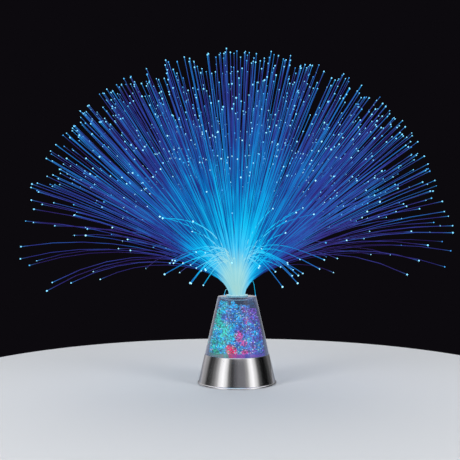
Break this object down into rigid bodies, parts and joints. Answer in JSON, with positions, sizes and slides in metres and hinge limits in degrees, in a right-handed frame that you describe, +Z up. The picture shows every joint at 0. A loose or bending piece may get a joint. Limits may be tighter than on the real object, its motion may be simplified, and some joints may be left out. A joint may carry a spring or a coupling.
{
  "type": "fiber optic lamp",
  "caption": "Table lamp: a dome of lit plastic light fibres plugged into a clear cone of crystals on a mirror-bright base, with a tray of cells, a door and a slide switch under the foot.",
  "frame": {"origin": "middle of the foot, on the surface the lamp stands on", "axes": "+Z up along the cone's axis; -Y is the side seen in front; +X to the right; cells lie along X"},
  "size_m": [0.456, 0.4638, 0.3578],
  "materials": {
    "mirror_band": "vacuum-metallised ABS, mirror bright",
    "screw_steel": "zinc plated",
    "black_abs": "fine spark texture",
    "cell_jacket": "shrink sleeve on a steel can",
    "contact_steel": "nickel plated",
    "red_pvc": "PVC insulation",
    "black_pvc": "PVC insulation",
    "switch_case": "tinned case",
    "switch_knob": "moulded",
    "green_board": "solder mask on glass epoxy",
    "chip_epoxy": "moulded epoxy",
    "lit_white_led": "clear epoxy, lit",
    "lit_green_led": "clear epoxy, lit",
    "lit_red_led": "clear epoxy, lit",
    "lit_blue_led": "clear epoxy, lit",
    "clear_acrylic": "polished clear acrylic",
    "crystal_acrylic": "faceted clear acrylic lit from below",
    "collar_acrylic": "polished",
    "lit_bundle": "potted light fibres, lit",
    "lit_fiber": "PMMA light fibre, lit"
  },
  "bodies": {
    "housing": {"base_shell": "mirror_band", "base_screws": "screw_steel", "bottom_tray": "black_abs", "batteries": "cell_jacket", "contact_plates": "contact_steel", "contact_springs": "contact_steel", "positive_lead": "red_pvc", "negative_lead": "black_pvc", "switch_leads": "black_pvc", "switch_body": "switch_case", "circuit_board": "green_board", "fiber_led": "lit_white_led", "controller_chip": "chip_epoxy", "resistors": "chip_epoxy", "green_leds": "lit_green_led", "red_leds": "lit_red_led", "blue_leds": "lit_blue_led", "container_shell": "clear_acrylic", "light_well": "clear_acrylic", "crystals": "crystal_acrylic"},
    "spray": {"fiber_collar": "collar_acrylic", "fiber_bundle": "lit_bundle", "fibers_crown": "lit_fiber", "fibers_middle": "lit_fiber", "fibers_side": "lit_fiber", "fibers_low": "lit_fiber"},
    "door": {"battery_door": "black_abs"},
    "knob": {"switch_knob": "switch_knob"}
  },
  "joints": [
    {"name": "spray_lift", "type": "slide", "parent": "housing", "child": "spray", "axis": [0, 0, 1], "range_m": [0, 0.03]},
    {"name": "door_hinge", "type": "hinge", "parent": "housing", "child": "door", "pos_m": [-0.02805, 0, 0.0024], "axis": [0, 1, 0], "range_deg": [0, 85]},
    {"name": "switch_slide", "type": "slide", "parent": "housing", "child": "knob", "axis": [1, 0, 0], "range_m": [0, 0.004]}
  ]
}
